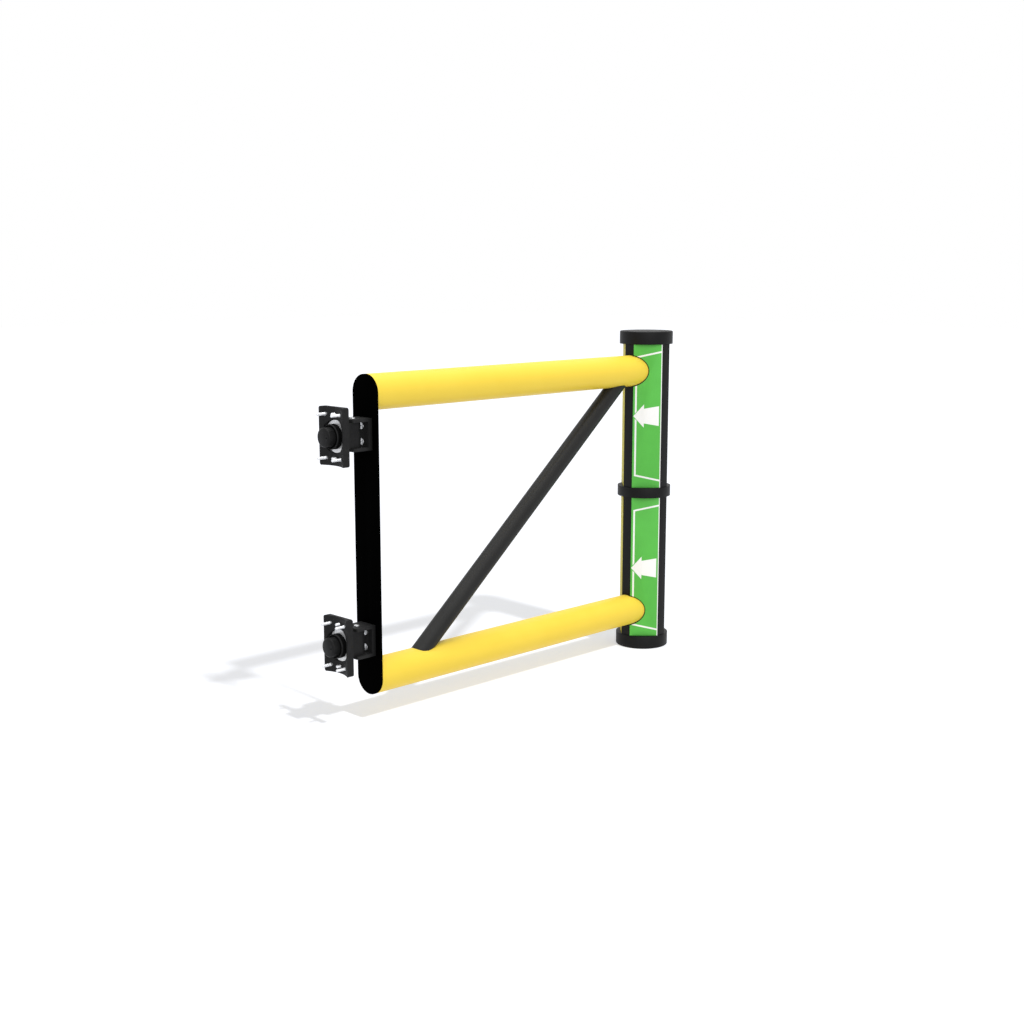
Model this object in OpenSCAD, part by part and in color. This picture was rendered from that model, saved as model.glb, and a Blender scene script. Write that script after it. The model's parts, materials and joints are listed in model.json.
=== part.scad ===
// Guard-rail swing gate: a two-rail leaf with a diagonal brace and a sign column at its free end, hung
// on two hinges whose saddle plates bolt to a round post.
// X runs along the closed leaf, Y across it and Z up. The origin is the centre of the lower hinge
// plate's bolt pattern, in the plane of the two flat lands that meet the post.

/* [Leaf] */
// Distance from the end plate's outer face to the column's axis
leaf_reach = 1477; // [900:1:1800]
// Outside diameter of both rails
rail_d = 125; // [100:1:130]
// Wall of the rails
rail_wall = 6; // [3:0.5:10]
// Thickness of the end plate that closes the rails at the hinge side
end_plate_t = 10; // [5:0.5:14]
// How far the rails' ends stop short of the column's axis
rail_stop = 20; // [5:1:40]

/* [Brace] */
// Outside diameter of the diagonal brace
brace_d = 68; // [40:1:80]
// Wall of the brace
brace_wall = 5; // [2:0.5:8]
// Distance from the end plate's outer face to the brace's axis at the top of the lower rail
brace_low_x = 258; // [180:1:320]
// Distance from the brace's axis at the bottom of the upper rail to the column's axis
brace_high_x = 195; // [180:1:320]

/* [Column] */
// Height of the column with both caps
column_h = 1310; // [1100:1:1500]
// Height of the lower rail's axis over the column's foot
rail_foot_h = 160.5; // [150:0.5:200]
// Depth of the upper rail's axis below the column's top
rail_top_h = 158; // [150:0.5:200]
// Width of the column across two opposite sign faces
face_span = 178; // [170:0.5:181]
// Width of the sign panels' recesses
panel_w = 116; // [104:0.5:118]
// Thickness of the sign panels, which is also the depth of their recesses
panel_t = 3; // [2:0.5:5]
// Flat lip left on the column beside each recess
panel_lip = 0.7; // [0.4:0.1:1]
// Wall behind the sign panels
column_wall = 4; // [2:0.5:8]
// Gap between the rails and the cut-outs in the sign panels
cutout_gap = 4.5; // [2:0.5:8]
// How far the caps stand out past the column's corners
cap_lip = 1; // [0.5:0.5:6]
// Height of the top cap
top_cap_h = 51.5; // [30:0.5:60]
// Height of the bottom cap
bottom_cap_h = 52.5; // [30:0.5:60]
// Chamfer around the caps' outer ends
cap_chamfer = 3; // [1:0.5:6]
// How far the joining ring at the column's middle stands out past the column's corners
ring_lip = 2; // [0.5:0.5:8]
// Height of the joining ring
ring_h = 41; // [24:1:60]
// How deep the caps' and ring's spigots reach into the column
spigot_h = 25; // [10:1:28]

/* [Hinge plates] */
// Distance from each rail's axis to the nearer hinge's centre
hinge_inset = 138; // [130:0.5:220]
// Width of the hinge plates
plate_w = 130; // [116:1:132]
// Height of the hinge plates
plate_h = 198; // [186:1:210]
// Thickness of the hinge plates at the lands
plate_t = 24.4; // [22:0.1:26]
// Corner radius of the hinge plates
plate_corner_r = 8; // [3:0.5:12]
// Width of the flat land at each side of the saddle
land_w = 6; // [4:0.5:10]
// Radius of the saddle that fits round the post
saddle_r = 114; // [108:1:140]
// Diameter of the pocket for the hub
pocket_d = 111; // [100:1:112]
// Thickness of the pocket's floor
pocket_floor = 3; // [2:0.5:6]

/* [Hinge arms and pins] */
// Distance from the hinge plate's back to the pin's axis
arm_reach = 67.6; // [67.5:0.1:90]
// Width of the arm, which ends round about the pin
arm_w = 52; // [40:1:54]
// Height of the arm
arm_h = 86; // [60:0.5:110]
// Diameter of the hinge pins
pin_d = 16; // [12:1:24]
// Radial clearance of the pin in the arm and in the lugs
pin_gap = 0.05; // [0.02:0.01:0.1]
// Diameter of the pin's head
pin_head_d = 18; // [17:0.5:24]
// Height of the pin's head
pin_head_h = 2.5; // [2:0.5:6]
// How far the pin's foot stands out below the lower lug
pin_foot = 3; // [1:0.5:5]

/* [Leaf brackets] */
// Distance from the pin's axis to the end plate's outer face
pin_to_leaf = 51; // [51:0.5:64]
// Width of the leaf brackets
bracket_w = 79; // [66:1:100]
// Thickness of the bracket's back
bracket_t = 15.5; // [12:0.5:18]
// Thickness of the bracket's two lugs
lug_t = 11; // [8:0.5:14]
// Gap between the arm and each lug
lug_gap = 0.5; // [0.3:0.1:2]
// Distance from the pin's axis to the lugs' free ends
lug_end = 29; // [18:0.5:34]
// Corner radius of the lugs
lug_corner_r = 10; // [4:0.5:14]

/* [Fixings] */
// Diameter of the wall bolts that stand out of the hinge plates
wall_bolt_d = 10; // [8:0.5:12]
// Diameter of the wall bolts' plain shanks, in the plate
wall_shank_d = 11; // [9:0.5:14]
// Depth below the lands at which the wall bolts' shanks end and their threads start
wall_shank_x = 5; // [2:0.5:6]
// Spacing of the wall bolts across the plate
wall_bolt_dy = 78; // [70:0.5:84]
// Spacing of the wall bolts up the plate
wall_bolt_dz = 147; // [142:0.5:156]
// How far the wall bolts stand out beyond the lands
wall_bolt_out = 29; // [20:1:60]
// Diameter of the wall bolts' heads
wall_head_d = 16; // [14:0.5:16]
// Height of the wall bolts' heads
wall_head_h = 5.5; // [4:0.5:6]
// How deep the wall bolts' heads sit in the plate
wall_head_sink = 3.5; // [2:0.5:4]
// Diameter of the two centre screws above and below the pocket
centre_screw_d = 11; // [8:0.5:12]
// How far the centre screws stand out of the saddle
centre_screw_out = 14; // [2:0.5:20]
// Diameter of the centre screws' heads
centre_head_d = 17; // [14:0.5:20]
// Height of the centre screws' heads
centre_head_h = 4; // [3:0.5:5]
// Diameter of the bracket bolts, which have countersunk heads
bracket_bolt_d = 12; // [8:0.5:14]
// Spacing of the bracket bolts up the bracket
bracket_bolt_dz = 54; // [40:0.5:58]
// Diameter of the bracket bolts' heads
bracket_head_d = 23.5; // [20:0.5:26]
// Width across the flats of the bracket nuts
nut_af = 19; // [17:0.5:22]
// Height of the bracket nuts
nut_h = 10; // [6:0.5:12]
// Clearance round a bolt in its hole
bolt_gap = 0.3; // [0.2:0.1:1]

/* [Hubs] */
// Diameter of the hub's flange
hub_flange_d = 85; // [80:1:94]
// How far the hub's flange stands out beyond the lands
hub_flange_out = 6; // [2:0.5:10]
// Diameter of the hub's boss
hub_boss_d = 67; // [50:1:72]
// How far the hub's boss stands out beyond the lands
hub_boss_out = 35; // [20:1:40]
// Chamfer round the hub's nose
hub_chamfer = 3; // [1:0.5:5]
// Diameter of the blind hole in the hub's nose
hub_hole_d = 9; // [5:0.5:12]
// Depth of the blind hole in the hub's nose
hub_hole_depth = 20; // [8:1:25]
// Thickness of the washer behind the hub
washer_t = 2; // [1:0.5:4]
// Diameter of the washer's bore
washer_bore_d = 40; // [30:1:50]

/* [Hidden] */
$fn = 96;
// Gap where one piece seats in another
seat_gap = 0.3;
// How far a cutting shape runs past the face that it cuts
overcut = 1;
// Chamfer at the ends of bolts, screws and pins
tip_chamfer = 1;

pin_x = plate_t + arm_reach;
leaf_x = pin_x + pin_to_leaf;
column_x = leaf_x + leaf_reach;
rail_x = leaf_x + end_plate_t;
rail_len = leaf_reach - end_plate_t - rail_stop;

// Levels, from the lower hinge's centre
rail_low_z = -hinge_inset;
rail_spacing = column_h - rail_foot_h - rail_top_h;
rail_high_z = rail_low_z + rail_spacing;
hinge_spacing = rail_spacing - 2 * hinge_inset;
foot_z = rail_low_z - rail_foot_h;
top_cap_z = foot_z + column_h - top_cap_h;
bottom_cap_top = foot_z + bottom_cap_h;
body_h = (top_cap_z - bottom_cap_top - ring_h) / 2;
ring_z = bottom_cap_top + body_h;
ring_top = ring_z + ring_h;

// The saddle meets the lands at this distance from the plate's mid-plane, and is deepest on it
saddle_half_w = plate_w / 2 - land_w;
saddle_x = -sqrt(pow(saddle_r, 2) - pow(saddle_half_w, 2));
saddle_depth = saddle_r + saddle_x;

// A sign face reaches to the corner faces, which are square to X and Y
face_half_w = panel_w / 2 + panel_lip;
corner_span = (face_span + 2 * face_half_w) / sqrt(2);
inner_span = face_span - 2 * (panel_t + column_wall);
inner_corner_span = corner_span - 2 * (panel_t + column_wall);
corner_r = norm([face_span / 2, face_half_w]);
cap_r = corner_r + cap_lip;
ring_r = corner_r + ring_lip;

pocket_depth = plate_t - pocket_floor;
bracket_h = arm_h + 2 * (lug_gap + lug_t);
bracket_face_x = leaf_x - bracket_t;
// The countersunk heads have a 90 degree cone
bracket_head_h = (bracket_head_d - bracket_bolt_d) / 2;

brace_run = leaf_reach - brace_low_x - brace_high_x;
brace_rise = rail_spacing - rail_d;
brace_len = norm([brace_run, brace_rise]);

wall_bolts = [for (y = [-1, 1], z = [-1, 1]) [y * wall_bolt_dy / 2, z * wall_bolt_dz / 2]];
centre_screws = [for (z = [-1, 1]) [0, z * wall_bolt_dz / 2]];
bracket_bolts_at = [for (z = [-1, 1]) [0, z * bracket_bolt_dz / 2]];

FRONT = 225;
LEFT = 135;
BACK = 45;
RIGHT = 315;

CASTING = "#2a2a2b";
RAIL_YELLOW = "#f7d84a";
STEEL = "#c9ccd0";
PLASTIC = "#242425";
SIGN_GREEN = "#62c153";
SIGN_YELLOW = "#f2d33e";

// A round bar along +X from x, at [y, z]
module x_bar(x, at, d, length) {
    translate([x, at[0], at[1]]) rotate([0, 90, 0]) cylinder(d = d, h = length);
}

// A round bar along +X whose low end has a chamfer
module x_tipped_bar(x, at, d, length, chamfer) {
    translate([x, at[0], at[1]]) rotate([0, 90, 0]) {
        cylinder(d1 = d - 2 * chamfer, d2 = d, h = chamfer);
        translate([0, 0, chamfer]) cylinder(d = d, h = length - chamfer);
    }
}

// A round bar along +X whose high end has a chamfer
module x_domed_head(x, at, d, h, chamfer) {
    translate([x, at[0], at[1]]) rotate([0, 90, 0]) {
        cylinder(d = d, h = h - chamfer);
        translate([0, 0, h - chamfer]) cylinder(d1 = d, d2 = d - 2 * chamfer, h = chamfer);
    }
}

// A cone along +X from x, whose diameter falls from d1 to d2
module x_cone(x, at, d1, d2, length) {
    translate([x, at[0], at[1]]) rotate([0, 90, 0]) cylinder(d1 = d1, d2 = d2, h = length);
}

// Extrudes a Y-Z outline along +X from x
module x_extrude(x, length) {
    translate([x, 0, 0]) rotate([90, 0, 90]) linear_extrude(length) children();
}

module rounded_rectangle(w, h, r) {
    square([w - 2 * r, h], center = true);
    square([w, h - 2 * r], center = true);
    for (x = [-1, 1], y = [-1, 1])
        translate([x * (w / 2 - r), y * (h / 2 - r)]) circle(r);
}

module at_hinge(level) {
    translate([0, 0, level]) children();
}

// ---- Post side of a hinge ----

module post_plate() {
    color(CASTING) difference() {
        union() {
            x_extrude(0, plate_t) rounded_rectangle(plate_w, plate_h, plate_corner_r);
            translate([pocket_depth, -arm_w / 2, -arm_h / 2])
                cube([pin_x - pocket_depth, arm_w, arm_h]);
            translate([pin_x, 0, -arm_h / 2]) cylinder(d = arm_w, h = arm_h);
        }
        translate([saddle_x, 0, -plate_h]) cylinder(r = saddle_r, h = 2 * plate_h);
        x_bar(-overcut, [0, 0], pocket_d, pocket_depth + overcut);
        translate([pin_x, 0, -arm_h]) cylinder(d = pin_d + 2 * pin_gap, h = 2 * arm_h);
        for (at = wall_bolts) {
            x_bar(-overcut, at, wall_shank_d + 2 * bolt_gap, plate_t + 2 * overcut);
            x_bar(plate_t - wall_head_sink, at, wall_head_d + 2 * bolt_gap, wall_head_sink + overcut);
        }
        for (at = centre_screws)
            x_bar(-overcut, at, centre_screw_d + 2 * bolt_gap, plate_t + 2 * overcut);
    }
}

module hub() {
    washer_face = pocket_depth - washer_t;
    color(PLASTIC) difference() {
        union() {
            x_bar(washer_face, [0, 0], washer_bore_d - 2 * seat_gap, washer_t);
            x_bar(-hub_flange_out, [0, 0], hub_flange_d, washer_face + hub_flange_out);
            x_tipped_bar(-hub_boss_out, [0, 0], hub_boss_d, hub_boss_out, hub_chamfer);
        }
        x_bar(-hub_boss_out - overcut, [0, 0], hub_hole_d, hub_hole_depth + overcut);
    }
}

module hub_washer() {
    color(STEEL) difference() {
        x_bar(pocket_depth - washer_t, [0, 0], pocket_d - 2 * seat_gap, washer_t);
        x_bar(pocket_depth - washer_t - overcut, [0, 0], washer_bore_d, washer_t + 2 * overcut);
    }
}

module wall_bolt_set() {
    head_x = plate_t - wall_head_sink;
    color(STEEL) for (at = wall_bolts) {
        x_tipped_bar(-wall_bolt_out, at, wall_bolt_d, wall_bolt_out + wall_shank_x, tip_chamfer);
        x_bar(wall_shank_x, at, wall_shank_d, head_x - wall_shank_x);
        x_domed_head(head_x, at, wall_head_d, wall_head_h, tip_chamfer);
    }
}

module centre_screw_set() {
    tip_x = saddle_depth - centre_screw_out;
    color(STEEL) for (at = centre_screws) {
        x_tipped_bar(tip_x, at, centre_screw_d, plate_t - tip_x, tip_chamfer);
        x_domed_head(plate_t, at, centre_head_d, centre_head_h, tip_chamfer);
    }
}

// ---- Leaf side of a hinge ----

module lug_outline() {
    square_x = pin_x - lug_end + lug_corner_r;
    translate([square_x, -bracket_w / 2]) square([leaf_x - square_x, bracket_w]);
    translate([pin_x - lug_end, -bracket_w / 2 + lug_corner_r])
        square([lug_end, bracket_w - 2 * lug_corner_r]);
    for (y = [-1, 1])
        translate([square_x, y * (bracket_w / 2 - lug_corner_r)]) circle(lug_corner_r);
}

module leaf_bracket() {
    color(CASTING) difference() {
        union() {
            translate([bracket_face_x, -bracket_w / 2, -bracket_h / 2])
                cube([bracket_t, bracket_w, bracket_h]);
            for (z = [-bracket_h / 2, bracket_h / 2 - lug_t])
                translate([0, 0, z]) linear_extrude(lug_t) lug_outline();
        }
        translate([pin_x, 0, -bracket_h]) cylinder(d = pin_d + 2 * pin_gap, h = 2 * bracket_h);
        for (at = bracket_bolts_at) {
            x_bar(bracket_face_x - overcut, at, bracket_bolt_d + 2 * bolt_gap, bracket_t + 2 * overcut);
            x_cone(bracket_face_x, at, bracket_head_d + 2 * bolt_gap, bracket_bolt_d + 2 * bolt_gap,
                bracket_head_h);
        }
    }
}

module bracket_bolt_set() {
    length = bracket_t + end_plate_t + nut_h + 2 * tip_chamfer;
    color(STEEL) for (at = bracket_bolts_at) {
        x_cone(bracket_face_x, at, bracket_head_d, bracket_bolt_d, bracket_head_h);
        x_domed_head(bracket_face_x, at, bracket_bolt_d, length, tip_chamfer);
    }
}

module bracket_nut_set() {
    color(STEEL) for (at = bracket_bolts_at) difference() {
        translate([rail_x, at[0], at[1]]) rotate([0, 90, 0])
            cylinder(d = nut_af / cos(30), h = nut_h, $fn = 6);
        x_bar(rail_x - overcut, at, bracket_bolt_d + 2 * pin_gap, nut_h + 2 * overcut);
    }
}

module hinge_pin() {
    shank_h = bracket_h + pin_foot;
    color(STEEL) translate([pin_x, 0, -bracket_h / 2 - pin_foot]) {
        cylinder(d1 = pin_d - 2 * tip_chamfer, d2 = pin_d, h = tip_chamfer);
        translate([0, 0, tip_chamfer]) cylinder(d = pin_d, h = shank_h - tip_chamfer);
        translate([0, 0, shank_h]) cylinder(d = pin_head_d, h = pin_head_h - tip_chamfer);
        translate([0, 0, shank_h + pin_head_h - tip_chamfer])
            cylinder(d1 = pin_head_d, d2 = pin_head_d - 2 * tip_chamfer, h = tip_chamfer);
    }
}

// ---- Leaf frame ----

module end_plate() {
    mid_z = (rail_low_z + rail_high_z) / 2;
    color("#111112") difference() {
        x_extrude(leaf_x, end_plate_t) {
            translate([0, mid_z]) square([rail_d, rail_spacing], center = true);
            for (z = [rail_low_z, rail_high_z]) translate([0, z]) circle(d = rail_d);
        }
        for (level = [0, hinge_spacing], at = bracket_bolts_at)
            x_bar(leaf_x - overcut, [at[0], at[1] + level], bracket_bolt_d + 2 * bolt_gap,
                end_plate_t + 2 * overcut);
    }
}

module rail(z) {
    color(RAIL_YELLOW) difference() {
        x_bar(rail_x, [0, z], rail_d, rail_len);
        x_bar(rail_x - overcut, [0, z], rail_d - 2 * rail_wall, rail_len + 2 * overcut);
    }
}

// The brace's ends are scribed to the rails that they meet
module diagonal_brace() {
    slope = atan2(brace_rise, brace_run);
    color(PLASTIC) difference() {
        translate([leaf_x + brace_low_x, 0, rail_low_z + rail_d / 2]) rotate([0, 90 - slope, 0])
            translate([0, 0, -rail_d / 2]) difference() {
                cylinder(d = brace_d, h = brace_len + rail_d);
                translate([0, 0, -overcut])
                    cylinder(d = brace_d - 2 * brace_wall, h = brace_len + rail_d + 2 * overcut);
            }
        for (z = [rail_low_z, rail_high_z])
            x_bar(leaf_x, [0, z], rail_d + 2 * seat_gap, leaf_reach);
    }
}

// ---- Column ----

// An eight-sided outline: sign faces at 45 degrees, narrow corner faces square to X and Y
module column_outline(span, across_corners) {
    intersection() {
        rotate(45) square(span, center = true);
        square(across_corners, center = true);
    }
}

module column_body(z, h, rail_z) {
    color(PLASTIC) difference() {
        translate([column_x, 0, z]) linear_extrude(h) difference() {
            column_outline(face_span, corner_span);
            column_outline(inner_span, inner_corner_span);
            for (side = [FRONT, LEFT, BACK, RIGHT])
                rotate(side) translate([face_span / 2 - panel_t, -panel_w / 2])
                    square([panel_t + overcut, panel_w]);
        }
        x_bar(column_x - corner_span, [0, rail_z], rail_d + 2 * seat_gap, corner_span);
    }
}

module sign_panel(z, h, rail_z, side, paint) {
    color(paint) difference() {
        translate([column_x, 0, z + seat_gap]) rotate(side)
            translate([face_span / 2 - panel_t, -panel_w / 2 + seat_gap, 0])
                cube([panel_t, panel_w - 2 * seat_gap, h - 2 * seat_gap]);
        x_bar(column_x - corner_span, [0, rail_z], rail_d + 2 * cutout_gap, corner_span);
    }
}

module lower_sign(side, paint) {
    sign_panel(bottom_cap_top, body_h, rail_low_z, side, paint);
}

module upper_sign(side, paint) {
    sign_panel(ring_top, body_h, rail_high_z, side, paint);
}

// The spigot plugs the inside of the column's profile
module spigot() {
    linear_extrude(spigot_h)
        column_outline(inner_span - 2 * seat_gap, inner_corner_span - 2 * seat_gap);
}

module column_cap(h) {
    color(PLASTIC) {
        cylinder(r = cap_r, h = h - cap_chamfer);
        translate([0, 0, h - cap_chamfer])
            cylinder(r1 = cap_r, r2 = cap_r - cap_chamfer, h = cap_chamfer);
        translate([0, 0, -spigot_h]) spigot();
    }
}

module top_cap() {
    translate([column_x, 0, top_cap_z]) column_cap(top_cap_h);
}

module bottom_cap() {
    translate([column_x, 0, bottom_cap_top]) mirror([0, 0, 1]) column_cap(bottom_cap_h);
}

module column_ring() {
    color(PLASTIC) translate([column_x, 0, ring_z]) {
        cylinder(r = ring_r, h = ring_h);
        translate([0, 0, -spigot_h]) spigot();
        translate([0, 0, ring_h]) spigot();
    }
}

at_hinge(0) post_plate();  // lower_post_plate
at_hinge(0) hub();  // lower_hub
at_hinge(0) hub_washer();  // lower_hub_washer
at_hinge(0) wall_bolt_set();  // lower_wall_bolts
at_hinge(0) centre_screw_set();  // lower_centre_screws
at_hinge(hinge_spacing) post_plate();  // upper_post_plate
at_hinge(hinge_spacing) hub();  // upper_hub
at_hinge(hinge_spacing) hub_washer();  // upper_hub_washer
at_hinge(hinge_spacing) wall_bolt_set();  // upper_wall_bolts
at_hinge(hinge_spacing) centre_screw_set();  // upper_centre_screws
at_hinge(0) leaf_bracket();  // lower_leaf_bracket
at_hinge(0) bracket_bolt_set();  // lower_bracket_bolts
at_hinge(0) bracket_nut_set();  // lower_bracket_nuts
at_hinge(0) hinge_pin();  // lower_hinge_pin
at_hinge(hinge_spacing) leaf_bracket();  // upper_leaf_bracket
at_hinge(hinge_spacing) bracket_bolt_set();  // upper_bracket_bolts
at_hinge(hinge_spacing) bracket_nut_set();  // upper_bracket_nuts
at_hinge(hinge_spacing) hinge_pin();  // upper_hinge_pin
end_plate();
rail(rail_low_z);  // lower_rail
rail(rail_high_z);  // upper_rail
diagonal_brace();
column_body(bottom_cap_top, body_h, rail_low_z);  // lower_column_body
column_body(ring_top, body_h, rail_high_z);  // upper_column_body
bottom_cap();
column_ring();
top_cap();
lower_sign(FRONT, SIGN_GREEN);  // lower_front_sign
lower_sign(LEFT, SIGN_YELLOW);  // lower_left_sign
lower_sign(BACK, SIGN_GREEN);  // lower_back_sign
lower_sign(RIGHT, SIGN_YELLOW);  // lower_right_sign
upper_sign(FRONT, SIGN_GREEN);  // upper_front_sign
upper_sign(LEFT, SIGN_YELLOW);  // upper_left_sign
upper_sign(BACK, SIGN_GREEN);  // upper_back_sign
upper_sign(RIGHT, SIGN_YELLOW);  // upper_right_sign
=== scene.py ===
import json
import math

import bpy
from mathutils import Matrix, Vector

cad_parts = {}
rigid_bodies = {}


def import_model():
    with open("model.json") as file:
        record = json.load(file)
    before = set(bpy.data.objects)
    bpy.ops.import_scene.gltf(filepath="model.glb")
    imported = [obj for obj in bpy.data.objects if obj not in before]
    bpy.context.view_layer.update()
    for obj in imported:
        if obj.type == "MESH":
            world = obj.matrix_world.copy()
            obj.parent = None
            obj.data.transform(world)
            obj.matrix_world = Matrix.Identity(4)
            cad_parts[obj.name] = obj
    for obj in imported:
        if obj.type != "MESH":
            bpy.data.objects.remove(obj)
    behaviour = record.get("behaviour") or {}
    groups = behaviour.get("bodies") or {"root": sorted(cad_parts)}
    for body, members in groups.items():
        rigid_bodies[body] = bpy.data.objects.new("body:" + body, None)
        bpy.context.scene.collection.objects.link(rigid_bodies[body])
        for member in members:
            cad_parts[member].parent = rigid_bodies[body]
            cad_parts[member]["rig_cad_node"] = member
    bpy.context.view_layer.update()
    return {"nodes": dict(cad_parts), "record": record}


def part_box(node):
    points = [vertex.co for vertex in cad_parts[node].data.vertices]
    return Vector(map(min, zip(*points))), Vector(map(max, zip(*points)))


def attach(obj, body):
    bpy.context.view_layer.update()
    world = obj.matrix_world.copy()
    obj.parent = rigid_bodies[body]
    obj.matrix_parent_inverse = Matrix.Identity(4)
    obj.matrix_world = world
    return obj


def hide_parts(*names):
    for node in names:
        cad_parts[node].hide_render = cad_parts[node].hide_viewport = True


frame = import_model()

MM = 0.001
HINGES = ("lower", "upper")

# ---- Places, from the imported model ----

HINGE_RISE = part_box("upper_post_plate")[0].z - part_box("lower_post_plate")[0].z
LEVEL = {"lower": 0.0, "upper": HINGE_RISE}
END_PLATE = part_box("end_plate")
LOWER_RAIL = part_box("lower_rail")
LEAF_X = END_PLATE[0].x
RAIL_R = LOWER_RAIL[1].y
TOP_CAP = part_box("top_cap")
COLUMN_X = (TOP_CAP[0].x + TOP_CAP[1].x) / 2
FOOT_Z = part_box("bottom_cap")[0].z
PIN_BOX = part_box("lower_hinge_pin")
PIN_X = (PIN_BOX[0].x + PIN_BOX[1].x) / 2

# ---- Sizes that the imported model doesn't give ----

RAIL_WALL = 6 * MM
RAIL_EDGE = 0.8 * MM
KEY_FLATS = 8 * MM
WASHER_BORE_R = 20 * MM
HUB_STEM_R = 19.7 * MM
POCKET_R = 57.5 * MM
NUT_FLATS = 19 * MM
PIN_R = 8 * MM
SHANK_R = 5.5 * MM
BRACKET_BOLT_R = 6 * MM
HUB_RING_SETBACK = 29 * MM
# X values over which the bracket's coat darkens with painted shade towards its corner
BRACKET_SHADE_SPAN = (0.108, 0.146)

# ---- Print of the green signs, in millimetres from the panel's centre; the arrow points to the left ----

ARROW_TIP = -55.5
ARROW_NECK = -13.0
ARROW_END = 48.0
ARROW_HALF = 47.0
ARROW_SLOPE = ARROW_HALF / (ARROW_NECK - ARROW_TIP)
SHAFT_HALF = 29.7
SHAFT_SPREAD = 0.17
ARROW_GAP = 4.5
DOOR_LEFT = -46.1
PANEL_RIGHT = 58.0
EDGE_LINE = 3.6
DOOR_LINE = 7.0
DOOR_NEAR_HALF = 240.0
DOOR_SLANT = 0.214
INK_EDGE = 0.3
PRINT_LIFT = {"lower": -2.8, "upper": 0.0}
ARROW_LIFT = {"lower": 0.0, "upper": 2.8}
FACE_OUT = 89.0  # from the column's axis to a panel's face
CORE_FROM = 0.35
CORE_TO = 0.55

# ---- Colours ----

STEEL_PALE = (0.88, 0.89, 0.90, 1)
STEEL_DEEP = (0.74, 0.75, 0.77, 1)
SIGN_WHITE = (0.96, 0.96, 0.96, 1)
CORE_WHITE = (0.85, 0.86, 0.84, 1)
YELLOW = (0.93, 0.68, 0.072, 1)
YELLOW_DEEP = (0.90, 0.645, 0.060, 1)
# The side signs' yellow is a darker, olive copy of the rails' yellow: painted shade
SHADED_SIGN_YELLOW = (0.70, 0.61, 0.075, 1)
GREEN = (0.118, 0.53, 0.086, 1)
TUBE_BLACK = (0.018, 0.018, 0.0175, 1)
TUBE_BLACK_DEEP = (0.013, 0.013, 0.013, 1)
CASTING_BLACK = (0.0135, 0.0135, 0.0138, 1)
BRACKET_BLACK = (0.0205, 0.0205, 0.0208, 1)
# Painted shade, mixed into a coat towards a corner
PAINTED_SHADE_BLACK = (0.0005, 0.0005, 0.0005, 1)
# The collar's rubber black, also used as painted shade in the hub's groove
RUBBER_AND_GROOVE_SHADE_BLACK = (0.0035, 0.0035, 0.0035, 1)
PLATE_BLACK = (0.0006, 0.0006, 0.0006, 1)
COLUMN_BLACK = (0.0060, 0.0060, 0.0062, 1)
HUB_BLACK = (0.0078, 0.0078, 0.008, 1)


# ---- Shader maths ----

class Wire:
    """A socket's value: Python's operators add Math nodes to its tree."""

    def __init__(self, tree, socket):
        self.tree = tree
        self.socket = socket

    def math(self, operation, *others, clamp=False):
        node = self.tree.nodes.new("ShaderNodeMath")
        node.operation = operation
        node.use_clamp = clamp
        for place, value in enumerate((self, *others)):
            if isinstance(value, Wire):
                self.tree.links.new(value.socket, node.inputs[place])
            else:
                node.inputs[place].default_value = value
        return Wire(self.tree, node.outputs[0])

    def constant(self, value):
        node = self.tree.nodes.new("ShaderNodeValue")
        node.outputs[0].default_value = value
        return Wire(self.tree, node.outputs[0])

    def __add__(self, other):
        return self.math("ADD", other)

    __radd__ = __add__

    def __sub__(self, other):
        return self.math("SUBTRACT", other)

    def __rsub__(self, other):
        return self.constant(other) - self

    def __mul__(self, other):
        return self.math("MULTIPLY", other)

    __rmul__ = __mul__

    def __truediv__(self, other):
        return self.math("DIVIDE", other)

    def __abs__(self):
        return self.math("ABSOLUTE")

    def __neg__(self):
        return self * -1

    def least(self, other):
        return self.math("MINIMUM", other)

    def most(self, other):
        return self.math("MAXIMUM", other)

    def step(self, low, high):
        """0 up to low, 1 from high on, and a straight ramp between."""
        return self.math("SUBTRACT", low).math("DIVIDE", high - low, clamp=True)


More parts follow.
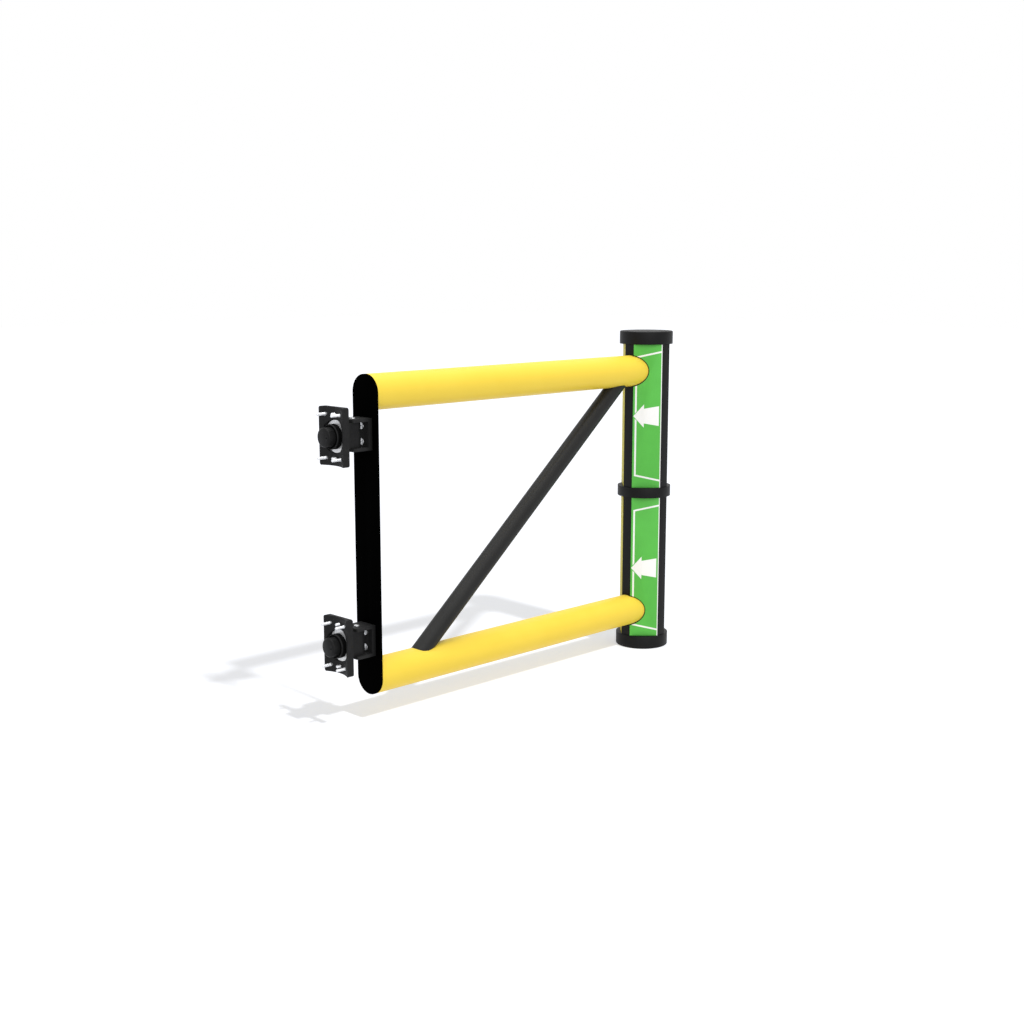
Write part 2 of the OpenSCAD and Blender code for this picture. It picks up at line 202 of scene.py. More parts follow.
class Finish:
    """A material and its node tree."""

    def __init__(self, name):
        self.material = bpy.data.materials.new(name)
        self.material.use_nodes = True
        self.tree = self.material.node_tree
        self.surface = self.tree.nodes["Principled BSDF"]

    def node(self, kind, settings=None, **sockets):
        """A node of that type, its settings made first, then its sockets' values or links."""
        made = self.tree.nodes.new(kind)
        for name, value in (settings or {}).items():
            setattr(made, name, value)
        for name, value in sockets.items():
            self.plug(made.inputs[name.replace("_", " ")], value)
        return made

    def plug(self, socket, value):
        if isinstance(value, Wire):
            value = value.socket
        if isinstance(value, bpy.types.NodeSocket):
            self.tree.links.new(value, socket)
        else:
            socket.default_value = value

    def wire(self, socket):
        return Wire(self.tree, socket)

    def coords(self):
        return self.node("ShaderNodeTexCoord").outputs["Object"]

    def placed(self, location=(0, 0, 0), rotation=(0, 0, 0), scale=(1, 1, 1)):
        """Object coordinates seen from a frame of their own."""
        node = self.node("ShaderNodeMapping", {"vector_type": "TEXTURE"}, Vector=self.coords(),
                         Location=location, Rotation=rotation, Scale=scale)
        return node.outputs["Vector"]

    def xyz(self, vector):
        node = self.node("ShaderNodeSeparateXYZ", Vector=vector)
        return [self.wire(output) for output in node.outputs]

    def noise(self, vector, scale, detail=3.0, roughness=0.55):
        node = self.node("ShaderNodeTexNoise", Vector=vector, Scale=scale, Detail=detail, Roughness=roughness)
        return self.wire(node.outputs["Fac"])

    def mix(self, factor, first, second):
        node = self.node("ShaderNodeMix", {"data_type": "RGBA"})
        self.plug(node.inputs[0], factor)
        self.plug(node.inputs[6], first)
        self.plug(node.inputs[7], second)
        return node.outputs[2]

    def bump(self, height, strength, distance, under=None):
        node = self.node("ShaderNodeBump", Height=height, Strength=strength, Distance=distance)
        if under is not None:
            self.plug(node.inputs["Normal"], under)
        return node.outputs["Normal"]

    def set(self, **sockets):
        for name, value in sockets.items():
            self.plug(self.surface.inputs[name.replace("_", " ")], value)
        return self.material


def streaks(finish, vector, scale, stretch):
    """Noise drawn out along the first axis of the vector, as extrusion and brushing leave it."""
    node = finish.node("ShaderNodeMapping", {"vector_type": "POINT"}, Vector=vector,
                       Scale=(1 / stretch, 1, 1))
    return finish.noise(node.outputs["Vector"], scale, detail=4.0, roughness=0.6)


def polymer_tube(name, base, deep, rough, level, rotation=(0, 0, 0)):
    """Extruded polymer: drawn lines along the tube, a faint cloud in the colour, a soft sheen."""
    finish = Finish(name)
    along = finish.placed(rotation=rotation)
    lines = streaks(finish, along, 420.0, 160.0)
    cloud = finish.noise(along, 9.0, detail=2.0)
    scuff = streaks(finish, along, 60.0, 9.0).step(0.60, 0.74)
    colour = finish.mix(cloud.step(0.35, 0.75) * 0.55 + lines * 0.15, base, deep)
    height = lines * 0.6 + finish.noise(along, 1500.0, detail=2.0) * 0.25
    return finish.set(
        Base_Color=colour,
        Roughness=rough + (lines - 0.5) * 0.14 + scuff * 0.10,
        Specular_IOR_Level=level,
        Normal=finish.bump(height, 0.12, 0.0006),
    )


def moulded_black(name, base, rough, level, grain=950.0):
    """Moulded polymer: a fine spark-eroded grain and slow flow marks."""
    finish = Finish(name)
    here = finish.coords()
    fine = finish.noise(here, grain, detail=3.0)
    flow = finish.noise(here, 14.0, detail=3.0)
    speck = finish.noise(here, 260.0, detail=1.0).step(0.66, 0.78)
    deep = tuple(channel * 0.72 for channel in base[:3]) + (1,)
    pale = tuple(channel * 1.5 for channel in base[:3]) + (1,)
    colour = finish.mix(flow.step(0.35, 0.7), deep, base)
    colour = finish.mix(speck * 0.5, colour, pale)
    return finish.set(
        Base_Color=colour,
        Roughness=rough + (fine - 0.5) * 0.16 + (flow - 0.5) * 0.10,
        Specular_IOR_Level=level,
        Normal=finish.bump(fine + flow * 0.3, 0.20, 0.0005),
    )


def powder_coat(name, base, rough, level, shade_span=None):
    """Powder-coated casting: orange peel over the casting's own slow unevenness.

    Between the two X values of shade_span the colour darkens with painted shade, as shade falls in a corner,
    and the coat dulls."""
    finish = Finish(name)
    here = finish.coords()
    peel = finish.noise(here, 330.0, detail=2.0, roughness=0.45)
    cast = finish.noise(here, 60.0, detail=3.0)
    dust = finish.noise(here, 1400.0, detail=1.0).step(0.62, 0.80)
    deep = tuple(channel * 0.6 for channel in base[:3]) + (1,)
    pale = tuple(channel * 2.0 for channel in base[:3]) + (1,)
    colour = finish.mix(cast.step(0.3, 0.7), deep, base)
    colour = finish.mix(dust * 0.4, colour, pale)
    if shade_span:
        along, _, _ = finish.xyz(here)
        # Painted shade: the colour darkens towards the corner between the two X values
        shade_mask = (along + (cast - 0.5) * 0.006).step(*shade_span)
        colour = finish.mix(shade_mask * 0.92, colour, PAINTED_SHADE_BLACK)
        rough = shade_mask * 0.35 + rough
    return finish.set(
        Base_Color=colour,
        Roughness=(peel - 0.5) * 0.22 + rough,
        Specular_IOR_Level=level,
        Normal=finish.bump(peel * 0.8 + cast * 0.9, 0.32, 0.0010),
    )


def bright_zinc(name, level, metal):
    """Zinc-plated steel: a mottled plating with fine turning marks round the hinge's own axis."""
    finish = Finish(name)
    here = finish.placed(location=(0, 0, level))
    _, y, z = finish.xyz(here)
    rings = ((y * y + z * z).math("SQRT") * 5200.0).math("SINE")
    plating = finish.noise(here, 210.0, detail=4.0)
    patch = finish.noise(here, 46.0, detail=2.0)
    colour = finish.mix(plating.step(0.35, 0.7), STEEL_DEEP, STEEL_PALE)
    return finish.set(
        Base_Color=colour,
        Metallic=metal,
        Roughness=0.27 + (plating - 0.5) * 0.16 + (patch - 0.5) * 0.12,
        Normal=finish.bump(rings * 0.05 + plating * 0.4, 0.15, 0.0003),
    )


def sign_film(name, base, centre, turn, level, half=None):
    """A printed panel. Its pattern is drawn in millimetres, u to the right and v up from its centre."""
    finish = Finish(name)
    face = finish.placed(location=centre, rotation=(0, 0, turn), scale=(MM, MM, MM))
    u, depth, v = finish.xyz(face)
    tone = finish.noise(face, 0.012, detail=2.0)
    grain = finish.noise(face, 1.6, detail=2.0)
    deep = tuple(channel * 0.93 for channel in base[:3]) + (1,)
    colour = finish.mix(tone.step(0.3, 0.7), deep, base)
    if half:
        white = doorway_and_arrow(u, v - PRINT_LIFT[half], ARROW_LIFT[half])
        colour = finish.mix(white, colour, SIGN_WHITE)
        ink = white * 0.5
    else:
        ink = 0.0
    # The cut edges show the board's white core under the print
    core = (depth + FACE_OUT).step(CORE_FROM, CORE_TO)
    colour = finish.mix(core, colour, CORE_WHITE)
    return finish.set(
        Base_Color=colour,
        Roughness=0.42 + (grain - 0.5) * 0.10 - ink * 0.06,
        Specular_IOR_Level=level,
        Normal=finish.bump(grain * 0.2 + ink, 0.10, 0.0002),
    )


def doorway_and_arrow(u, v, arrow_lift):
    """1 where the sign's print is white: an arrow to the left across the outline of an open door."""
    rise = abs(v)
    # Arrow: the head's two edges and its base, then the shaft, which widens towards its end
    spread = abs(v - arrow_lift)
    head = ((u - ARROW_TIP) * ARROW_SLOPE - spread).least(ARROW_NECK - u)
    shaft = (SHAFT_HALF + (u - ARROW_NECK) * SHAFT_SPREAD - spread).least(ARROW_END - u)
    shaft = shaft.least(u - ARROW_NECK + INK_EDGE)
    arrow = head.most(shaft)
    # Door: an upright and two slanting edges, drawn up to the white line along the panel's right edge
    edge = DOOR_NEAR_HALF + (u - DOOR_LEFT) * DOOR_SLANT
    upright = (DOOR_LINE / 2 - abs(u - DOOR_LEFT)).least(edge + DOOR_LINE / 2 - rise)
    slant = (DOOR_LINE / 2 - abs(rise - edge)).least(u - DOOR_LEFT + DOOR_LINE / 2)
    door = upright.most(slant).most(u - (PANEL_RIGHT - EDGE_LINE))
    gap = arrow.step(-ARROW_GAP - INK_EDGE, -ARROW_GAP + INK_EDGE)
    door_ink = door.step(-INK_EDGE, INK_EDGE) * (1 - gap)
    return arrow.step(-INK_EDGE, INK_EDGE).most(door_ink)


# ---- Modelling ----

def let_go():
    if bpy.context.object and bpy.context.object.mode != "OBJECT":
        bpy.ops.object.mode_set(mode="OBJECT")
    bpy.ops.object.select_all(action="DESELECT")


def take(piece):
    let_go()
    piece.select_set(True)
    bpy.context.view_layer.objects.active = piece


def edit(piece):
    take(piece)
    bpy.ops.object.mode_set(mode="EDIT")
    bpy.ops.mesh.select_all(action="SELECT")


def apply_modifier(piece, kind, **settings):
    take(piece)
    modifier = piece.modifiers.new(kind.title(), kind)
    for name, value in settings.items():
        setattr(modifier, name, value)
    bpy.ops.object.modifier_apply(modifier=modifier.name)


def soften(piece, width, segments=3, angle=30):
    apply_modifier(piece, "BEVEL", width=width, segments=segments, limit_method="ANGLE",
                   angle_limit=math.radians(angle), harden_normals=False)


def smooth(piece, angle=32):
    take(piece)
    bpy.ops.object.shade_smooth_by_angle(angle=math.radians(angle))


def place(piece, at=(0, 0, 0), along_x=False):
    take(piece)
    piece.rotation_euler = (0, math.pi / 2 if along_x else 0, 0)
    piece.location = at
    bpy.ops.object.transform_apply(location=True, rotation=True, scale=True)


def copy_of(piece, name, move=(0, 0, 0)):
    take(piece)
    bpy.ops.object.duplicate(linked=False)
    made = bpy.context.object
    made.name = name
    place(made, at=move)
    return made


def joined(name, pieces):
    take(pieces[0])
    for piece in pieces:
        piece.select_set(True)
    bpy.ops.object.join()
    pieces[0].name = name
    return pieces[0]


def turned(name, stations, sides=64, bored=False):
    """A lathe-turned piece up the Z axis: a ring is drawn on from station to station of (height, radius).

    A bored piece's stations run up its outside and back down its bore, to end where they began."""
    let_go()
    height, radius = stations[0]
    bpy.ops.mesh.primitive_circle_add(vertices=sides, radius=radius, location=(0, 0, height),
                                      fill_type="NOTHING" if bored else "NGON")
    piece = bpy.context.object
    piece.name = name
    place(piece, at=(0, 0, height))
    edit(piece)
    for next_height, next_radius in stations[1:]:
        grow = next_radius / radius
        bpy.ops.mesh.extrude_region_move(
            TRANSFORM_OT_translate={"value": (0, 0, next_height - height)})
        bpy.ops.transform.resize(value=(grow, grow, 1), center_override=(0, 0, next_height))
        height, radius = next_height, next_radius
    bpy.ops.mesh.select_all(action="SELECT")
    bpy.ops.mesh.remove_doubles(threshold=1e-6)
    bpy.ops.mesh.normals_make_consistent(inside=False)
    let_go()
    return piece


def hexagon(name, across_flats, length, at_height):
    let_go()
    bpy.ops.mesh.primitive_cylinder_add(vertices=6, radius=across_flats / math.sqrt(3), depth=length,
                                        location=(0, 0, at_height + length / 2))
    piece = bpy.context.object
    piece.name = name
    take(piece)
    bpy.ops.object.transform_apply(location=True, rotation=True, scale=True)
    return piece


def cut(piece, tool, operation="DIFFERENCE"):
    apply_modifier(piece, "BOOLEAN", object=tool, operation=operation, solver="EXACT")
    bpy.data.objects.remove(tool)


def rounded_copy(node, name, width, segments=3, angle=30, cutter=None):
    """A copy of a CAD node whose loose triangles are merged, cut if need be, with its sharp edges rounded."""
    piece = copy_of(frame["nodes"][node], name)
    piece.data.materials.clear()
    if "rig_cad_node" in piece:
        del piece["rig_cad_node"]
    piece.parent = None
    edit(piece)
    bpy.ops.mesh.customdata_custom_splitnormals_clear()
    bpy.ops.mesh.remove_doubles(threshold=1e-6)
    bpy.ops.mesh.dissolve_limited(angle_limit=math.radians(0.4))
    let_go()
    if cutter:
        cut(piece, cutter)
    soften(piece, width, segments, angle)
    smooth(piece)
    return piece


def finish_piece(piece, body, material, slot, *nodes):
    piece.data.materials.clear()
    piece.data.materials.append(material)
    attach(piece, body)
    if nodes:
        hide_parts(*nodes)
    return piece


def thread(start, end, radius, pitch=1.5 * MM, depth=0.42 * MM):
    """Stations of a thread's ridges from start to end."""
    turns = max(1, int((end - start) / pitch))
    stations = []
    for turn in range(turns):
        base = start + turn * (end - start) / turns
        stations += [(base, radius - depth), (base + pitch * 0.38, radius), (base + pitch * 0.62, radius)]
    return stations + [(end, radius - depth)]


# ---- Finishes ----

def make_finishes():
    low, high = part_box("diagonal_brace")
    slope = math.atan2(high.z - low.z, high.x - low.x)
    made = {
        "rail_yellow": polymer_tube("rail_yellow_finish", YELLOW, YELLOW_DEEP, 0.42, 0.25),
        "black_tube": polymer_tube("brace_finish", TUBE_BLACK, TUBE_BLACK_DEEP, 0.45, 0.17, (0, -slope, 0)),
        "black_casting": powder_coat("casting_finish", CASTING_BLACK, 0.55, 0.14),
        # The bracket's coat carries painted shade towards its corner
        "bracket": powder_coat("bracket_finish", BRACKET_BLACK, 0.58, 0.16, BRACKET_SHADE_SPAN),
        # Rubber for the hub's collar, and painted shade for the groove in front of it
        "rubber_and_groove_shade": moulded_black("rubber_and_groove_shade_finish", RUBBER_AND_GROOVE_SHADE_BLACK, 0.75, 0.06, 900.0),
        "black_plate": moulded_black("closing_plate_finish", PLATE_BLACK, 0.85, 0.004, 700.0),
        "black_plastic": moulded_black("column_finish", COLUMN_BLACK, 0.48, 0.15),
        "hub_plastic": moulded_black("hub_finish", HUB_BLACK, 0.46, 0.13, 1100.0),
    }
    for hinge in HINGES:
        made["washer_" + hinge] = bright_zinc("washer_finish_" + hinge, LEVEL[hinge], 0.25)
        made["zinc_" + hinge] = bright_zinc("zinc_finish_" + hinge, LEVEL[hinge], 0.7)
    return made


# ---- Hinges ----

def mount(name):
    return next(entry for entry in frame["record"]["mounts"] if entry["name"] == name)


def at_hinges(piece, name):
    """The lower hinge's piece and its copy at the upper hinge."""
    piece.name = "lower_" + name
    return {"lower": piece, "upper": copy_of(piece, "upper_" + name, (0, 0, HINGE_RISE))}


def make_hub():
    """A boss with a chamfered nose, a deep ring groove, and a black ribbed rubber collar behind its ring."""
    low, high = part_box("lower_hub")
    boss = mount("lower_hub_boss")
    boss_r = boss["dims"]["r_mm"] * MM
    ring_x = boss["pos_m"][0] + boss["dims"]["length_mm"] * MM / 2
    collar_r, nose = high.y, low.x
    washer_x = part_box("lower_hub_washer")[0].x
    neck_x = washer_x - 4.6 * MM
    stations = [
        (nose, boss_r - 6.2 * MM), (nose + 0.5 * MM, boss_r - 5.2 * MM), (nose + 3.2 * MM, boss_r - 1.2 * MM),
        (nose + 4.2 * MM, boss_r - 0.4 * MM), (nose + 6.0 * MM, boss_r), (ring_x - 1.5 * MM, boss_r),
        (ring_x + 8 * MM, boss_r - 0.5 * MM), (ring_x + 8 * MM, collar_r - 4 * MM),
        (ring_x + 0.6 * MM, collar_r - 3.4 * MM), (ring_x, collar_r - 2.8 * MM),
        (ring_x + 1.0 * MM, collar_r - 1.3 * MM), (ring_x + 2.6 * MM, collar_r - 0.4 * MM),
        (ring_x + 4.6 * MM, collar_r)]
    rib, groove, depth = 4.6 * MM, 1.6 * MM, 1.4 * MM
    x = ring_x + 5.0 * MM
    while x + groove < neck_x:
        stations += [(x, collar_r), (x + 0.2 * MM, collar_r - depth),
                     (x + groove, collar_r - depth), (x + groove + 0.2 * MM, collar_r)]
        x += rib
    stations += [(neck_x, collar_r - 0.6 * MM), (neck_x, collar_r - 6 * MM), (washer_x, collar_r - 6 * MM),
                 (washer_x, HUB_STEM_R), (high.x, HUB_STEM_R)]
    hub = turned("hub", stations, sides=96)
    place(hub, along_x=True)
    dimple = turned("dimple", [(nose - MM, 3 * MM), (nose + 2.5 * MM, 3 * MM)], sides=24)
    place(dimple, at=(0, -19.5 * MM, 0), along_x=True)
    cut(hub, dimple)
    smooth(hub, 40)
    return at_hinges(hub, "hub_turned")


def darken_collar_and_groove(hub, rubber_and_groove_shade, level):
    """The collar behind the hub's ring is rubber; the groove inside the ring gets the same darker black as
    painted shade of the crevice.
    """
    hub.data.materials.append(rubber_and_groove_shade)
    ring_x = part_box("lower_hub")[0].x + HUB_RING_SETBACK
    ring_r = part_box("lower_hub")[1].y - 3 * MM
    for face in hub.data.polygons:
        radius = math.hypot(face.center.y, face.center.z - level)
        # Inside ring_r the dark black starts just behind the ring's front, so the groove gets it as painted
        # shade
        from_x = ring_x + (4.9 * MM if radius > ring_r else 0.05 * MM)
        behind = face.center.x > from_x
        face.material_index = int(behind)


def make_washer():
    low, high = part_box("lower_hub_washer")
    outer, inner, edge = high.y, WASHER_BORE_R, 0.4 * MM
    washer = turned("washer", [
        (low.x + edge, outer), (low.x, outer - edge), (low.x, inner + edge), (low.x + edge, inner),
        (high.x, inner), (high.x, outer), (low.x + edge, outer)], sides=96, bored=True)
    place(washer, along_x=True)
    smooth(washer)
    return at_hinges(washer, "washer_turned")


def socket_bolt(name, stations, socket_flats, socket_from, socket_to):
    """A turned bolt with a hexagon socket in one end."""
    bolt = turned(name, stations, sides=36)
    socket = hexagon("socket", socket_flats, abs(socket_to - socket_from), min(socket_from, socket_to))
    cut(bolt, socket)
    smooth(bolt, 35)
    return bolt


def make_wall_bolts():
    low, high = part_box("lower_wall_bolts")
    holes = mount("lower_wall_bolts")["dims"]
    reach_y, reach_z = holes["spacing_x_mm"] * MM / 2, holes["spacing_y_mm"] * MM / 2
    stud_r, shank_r, head_r = holes["stud_r_mm"] * MM, SHANK_R, high.y - reach_y
    head_x, shank_x = high.x - 5.5 * MM, 5 * MM
    stations = [(low.x, stud_r - 1.2 * MM)] + thread(low.x + 0.8 * MM, shank_x - 0.2 * MM, stud_r)
    stations += [(shank_x, shank_r), (head_x, shank_r), (head_x, head_r), (high.x - 0.9 * MM, head_r),
                 (high.x - 0.25 * MM, head_r - 0.3 * MM), (high.x, head_r - 0.9 * MM)]
    bolt = socket_bolt("wall_bolt", stations, KEY_FLATS, high.x - 4 * MM, high.x + MM)
    place(bolt, along_x=True)
    spots = [(0, y * reach_y, z * reach_z) for y in (-1, 1) for z in (-1, 1)]
    bolts = [copy_of(bolt, "wall_bolt_copy", spot) for spot in spots]
    bpy.data.objects.remove(bolt)
    return at_hinges(joined("wall_bolts", bolts), "wall_bolts_threaded")


def make_centre_screws():
    low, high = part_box("lower_centre_screws")
    reach = mount("lower_wall_bolts")["dims"]["spacing_y_mm"] * MM / 2
    screw_r, head_r = SHANK_R, high.y
    head_x = high.x - 4 * MM
    stations = [(low.x, screw_r - 1.2 * MM)] + thread(low.x + 0.8 * MM, low.x + 15.8 * MM, screw_r)
    stations += [(low.x + 16 * MM, screw_r), (head_x, screw_r), (head_x, head_r),
                 (high.x - 0.9 * MM, head_r), (high.x, head_r - 0.9 * MM)]
    screw = socket_bolt("centre_screw", stations, KEY_FLATS, high.x - 3 * MM, high.x + MM)
    place(screw, along_x=True)
    screws = [copy_of(screw, "centre_screw_copy", (0, 0, z * reach)) for z in (-1, 1)]
    bpy.data.objects.remove(screw)
    return at_hinges(joined("centre_screws", screws), "centre_screws_threaded")


def make_bracket_bolts():
    low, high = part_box("lower_bracket_bolts")
    nut_low, nut_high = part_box("lower_bracket_nuts")
    head_r, bolt_r = high.y, BRACKET_BOLT_R
    reach = high.z - head_r
    cone = head_r - bolt_r
    stations = [(low.x, head_r - 0.5 * MM), (low.x + 0.5 * MM, head_r - 0.2 * MM), (low.x + cone, bolt_r),
                (nut_low.x, bolt_r)]
    stations += thread(nut_low.x + 0.5 * MM, high.x - 1.0 * MM, bolt_r, pitch=1.75 * MM)
    stations += [(high.x, bolt_r - 1.2 * MM)]
    bolt = socket_bolt("bracket_bolt", stations, 4.5 * MM, low.x - MM, low.x + 1.6 * MM)
    place(bolt, along_x=True)
    nut = hexagon("nut", NUT_FLATS, nut_high.x - nut_low.x, nut_low.x)
    corner_r = NUT_FLATS / math.sqrt(3)
    barrel = turned("barrel", [
        (nut_low.x - MM, corner_r - 2.4 * MM), (nut_low.x + 1.2 * MM, corner_r + 0.1 * MM),
        (nut_high.x - 1.2 * MM, corner_r + 0.1 * MM), (nut_high.x + MM, corner_r - 2.4 * MM)], sides=48)
    cut(nut, barrel, "INTERSECT")
    cut(nut, turned("bore", [(nut_low.x - MM, bolt_r), (nut_high.x + MM, bolt_r)], sides=36))
    smooth(nut, 25)
    place(nut, along_x=True)
    bolts = [copy_of(bolt, "bolt_copy", (0, 0, z * reach)) for z in (-1, 1)]
    nuts = [copy_of(nut, "nut_copy", (0, 0, z * reach)) for z in (-1, 1)]
    bpy.data.objects.remove(bolt)
    bpy.data.objects.remove(nut)
    return (at_hinges(joined("bracket_bolts", bolts), "bracket_bolts_turned"),
            at_hinges(joined("bracket_nuts", nuts), "bracket_nuts_chamfered"))


def make_pin():
    low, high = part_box("lower_hinge_pin")
    head_r, pin_r, head_h, edge = high.y, PIN_R, 2.5 * MM, 0.7 * MM
    pin = turned("pin", [
        (low.z, pin_r - 1.5 * MM), (low.z + 0.4 * MM, pin_r - edge), (low.z + 1.2 * MM, pin_r),
        (high.z - head_h, pin_r), (high.z - head_h, head_r), (high.z - edge, head_r),
        (high.z - 0.2 * MM, head_r - 0.3 * MM), (high.z, head_r - 1.1 * MM)], sides=48)
    smooth(pin)
    place(pin, at=(PIN_X, 0, 0))
    return at_hinges(pin, "pin_turned")


def make_hinges(finishes):
    for hinge in HINGES:
        floor_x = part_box(hinge + "_hub_washer")[1].x
        pocket = turned("pocket", [(-MM, POCKET_R), (floor_x, POCKET_R)], sides=128)
        place(pocket, at=(0, 0, LEVEL[hinge]), along_x=True)
        plate = rounded_copy(hinge + "_post_plate", hinge + "_post_plate_casting", 1.4 * MM, cutter=pocket)
        finish_piece(plate, "post_side", finishes["black_casting"], "black_casting", hinge + "_post_plate")
        bracket = rounded_copy(hinge + "_leaf_bracket", hinge + "_bracket_casting", 2.4 * MM)
        finish_piece(bracket, "leaf", finishes["bracket"], "black_casting", hinge + "_leaf_bracket")
    bolts, nuts = make_bracket_bolts()
    sets = [
        (make_hub(), "hub", "post_side", "hub_plastic", "black_plastic"),
        (make_washer(), "hub_washer", "post_side", "washer", "bright_steel"),
        (make_wall_bolts(), "wall_bolts", "post_side", "zinc", "bright_steel"),
        (make_centre_screws(), "centre_screws", "post_side", "zinc", "bright_steel"),
        (bolts, "bracket_bolts", "leaf", "zinc", "bright_steel"),
        (nuts, "bracket_nuts", "leaf", "zinc", "bright_steel"),
        (make_pin(), "hinge_pin", "leaf", "zinc", "bright_steel"),
    ]
    for pieces, node, body, key, slot in sets:
        for hinge in HINGES:
            material = finishes[key] if key in finishes else finishes[key + "_" + hinge]
            finish_piece(pieces[hinge], body, material, slot, hinge + "_" + node)
            if node == "hub":
                darken_collar_and_groove(pieces[hinge], finishes["rubber_and_groove_shade"], LEVEL[hinge])


# ---- Leaf ----

def make_leaf(finishes):
    plate = rounded_copy("end_plate", "end_plate_rounded", 1.5 * MM)
    finish_piece(plate, "leaf", finishes["black_plate"], "black_plate", "end_plate")
    for name in ("lower_rail", "upper_rail"):
        low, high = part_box(name)
        rail = turned(name, [
            (low.x, RAIL_R - RAIL_EDGE), (low.x + RAIL_EDGE, RAIL_R),
            (high.x - RAIL_EDGE, RAIL_R), (high.x, RAIL_R - RAIL_EDGE),
            (high.x, RAIL_R - RAIL_WALL), (low.x, RAIL_R - RAIL_WALL),
            (low.x, RAIL_R - RAIL_EDGE)], sides=144, bored=True)
        place(rail, at=(0, 0, (low.z + high.z) / 2), along_x=True)
        rail.name = name + "_tube"
        smooth(rail)
        finish_piece(rail, "leaf", finishes["rail_yellow"], "rail_yellow", name)
    brace = frame["nodes"]["diagonal_brace"]
    brace.data.materials.clear()
    brace.data.materials.append(finishes["black_tube"])


# ---- Column ----

SIDES = {"front": -math.pi / 4, "left": -3 * math.pi / 4, "back": 3 * math.pi / 4, "right": math.pi / 4}


def make_column(finishes):
    for half in ("lower", "upper"):
        body = rounded_copy(half + "_column_body", half + "_column_moulding", 1.0 * MM)
        finish_piece(body, "leaf", finishes["black_plastic"], "black_plastic", half + "_column_body")
        for side, turn in SIDES.items():
            node = f"{half}_{side}_sign"
            low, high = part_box(node)
            panel = rounded_copy(node, node + "_panel", 0.5 * MM, segments=2)
            centre = (COLUMN_X, 0, (low.z + high.z) / 2)
            if side in ("front", "back"):
                material = sign_film(node + "_finish", GREEN, centre, turn, 0.12, half)
                finish_piece(panel, "leaf", material, "sign_green", node)
            else:
                # The yellow signs' olive colour is painted shade
                material = sign_film(node + "_finish", SHADED_SIGN_YELLOW, centre, turn, 0.03)
                finish_piece(panel, "leaf", material, "sign_yellow", node)
    for node, width in (("bottom_cap", 1.0 * MM), ("column_ring", 2.5 * MM), ("top_cap", 1.0 * MM)):
        cap = rounded_copy(node, node + "_moulding", width)
        finish_piece(cap, "leaf", finishes["black_plastic"], "black_plastic", node)


# ---- Floor, light and camera ----

AMBIENT = 0.45
LAMPS = (
    # Name, energy, spread, azimuth and elevation in degrees, and whether it lights the floor or the gate
    ("sun", 1.8, 3.2, -93, 51.5, True),
    ("overhead", 2.36, 60, 0, 90, False),
    ("front", 1.22, 50, -120, 25, False),
)


def white_to_the_eye(tree):
    """1 on camera, glossy and transmission rays: what the eye sees white, also in gloss."""
    path = tree.nodes.new("ShaderNodeLightPath")
    seen = path.outputs["Is Camera Ray"]
    for name in ("Is Glossy Ray", "Is Transmission Ray"):
        more = tree.nodes.new("ShaderNodeMath")
        more.operation = "MAXIMUM"
        tree.links.new(seen, more.inputs[0])
        tree.links.new(path.outputs[name], more.inputs[1])
        seen = more.outputs[0]
    return seen


def make_world():
    world = bpy.data.worlds.new("studio")
    bpy.context.scene.world = world
    world.use_nodes = True
    tree = world.node_tree
    ambient = tree.nodes["Background"]
    ambient.inputs["Color"].default_value = (1, 1, 1, 1)
    ambient.inputs["Strength"].default_value = AMBIENT
    white = tree.nodes.new("ShaderNodeBackground")
    white.inputs["Color"].default_value = (1, 1, 1, 1)
    white.inputs["Strength"].default_value = 1.0
    mix = tree.nodes.new("ShaderNodeMixShader")
    tree.links.new(white_to_the_eye(tree), mix.inputs[0])
    tree.links.new(ambient.outputs[0], mix.inputs[1])
    tree.links.new(white.outputs[0], mix.inputs[2])
    tree.links.new(mix.outputs[0], tree.nodes["World Output"].inputs["Surface"])


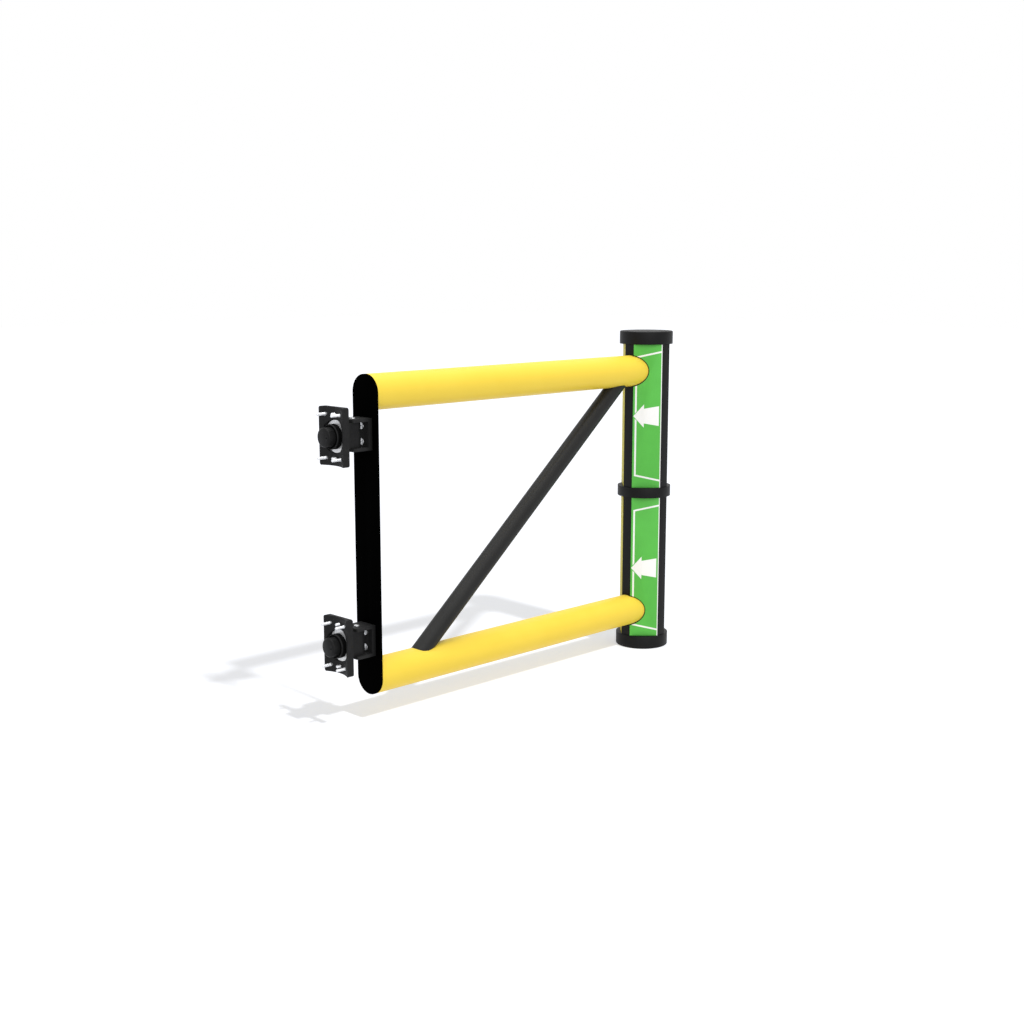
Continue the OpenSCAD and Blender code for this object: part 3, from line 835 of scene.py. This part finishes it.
def make_floor():
    """A pale floor: the eye sees it white, but for the gate's shadow."""
    let_go()
    bpy.ops.mesh.primitive_plane_add(size=60, location=(0, 0, FOOT_Z - 0.2 * MM))
    floor = bpy.context.object
    floor.name = "floor"
    finish = Finish("floor_finish")
    tree = finish.tree
    pale = finish.node("ShaderNodeBsdfDiffuse", Color=(0.9, 0.9, 0.9, 1))
    seen = finish.node("ShaderNodeBsdfDiffuse", Color=(0.74, 0.76, 0.82, 1))
    glow = finish.node("ShaderNodeEmission", Color=(1, 1, 1, 1), Strength=0.46)
    lit = finish.node("ShaderNodeAddShader")
    tree.links.new(seen.outputs[0], lit.inputs[0])
    tree.links.new(glow.outputs[0], lit.inputs[1])
    mix = finish.node("ShaderNodeMixShader")
    tree.links.new(white_to_the_eye(tree), mix.inputs[0])
    tree.links.new(pale.outputs[0], mix.inputs[1])
    tree.links.new(lit.outputs[0], mix.inputs[2])
    tree.links.new(mix.outputs[0], tree.nodes["Material Output"].inputs["Surface"])
    floor.data.materials.append(finish.material)
    return floor


def make_lamps(floor):
    """Soft lamps for the gate, and a small sun that only draws its shadow on the floor."""
    for name, energy, spread, azimuth, elevation, on_floor in LAMPS:
        data = bpy.data.lights.new(name, "SUN")
        data.energy = energy
        data.angle = math.radians(spread)
        lamp = bpy.data.objects.new(name, data)
        bpy.context.scene.collection.objects.link(lamp)
        turn = math.radians(azimuth)
        level = math.cos(math.radians(elevation))
        rise = math.sin(math.radians(elevation))
        direction = Vector((level * math.cos(turn), level * math.sin(turn), rise))
        lamp.rotation_euler = direction.to_track_quat("Z", "Y").to_euler()
        lit = bpy.data.collections.new("lit_by_" + name)
        lit.objects.link(floor)
        lamp.light_linking.receiver_collection = lit
        lit.collection_objects[0].light_linking.link_state = "INCLUDE" if on_floor else "EXCLUDE"


CAMERA_LENS = 49.636
CAMERA_PLACE = (LEAF_X - 3.00294, -3.70962, FOOT_Z + 1.57931)
CAMERA_DOWN = 9.985
CAMERA_TURN = 45.026


def make_camera():
    data = bpy.data.cameras.new("camera")
    data.sensor_width = 36
    data.lens = CAMERA_LENS
    camera = bpy.data.objects.new("camera", data)
    camera.location = CAMERA_PLACE
    camera.rotation_euler = (math.radians(90 - CAMERA_DOWN), 0, math.radians(CAMERA_TURN - 90))
    bpy.context.scene.collection.objects.link(camera)
    bpy.context.scene.camera = camera


make_camera()
make_world()
make_lamps(make_floor())
finishes = make_finishes()
make_hinges(finishes)
make_leaf(finishes)
make_column(finishes)
bpy.context.scene.view_settings.view_transform = "Standard"
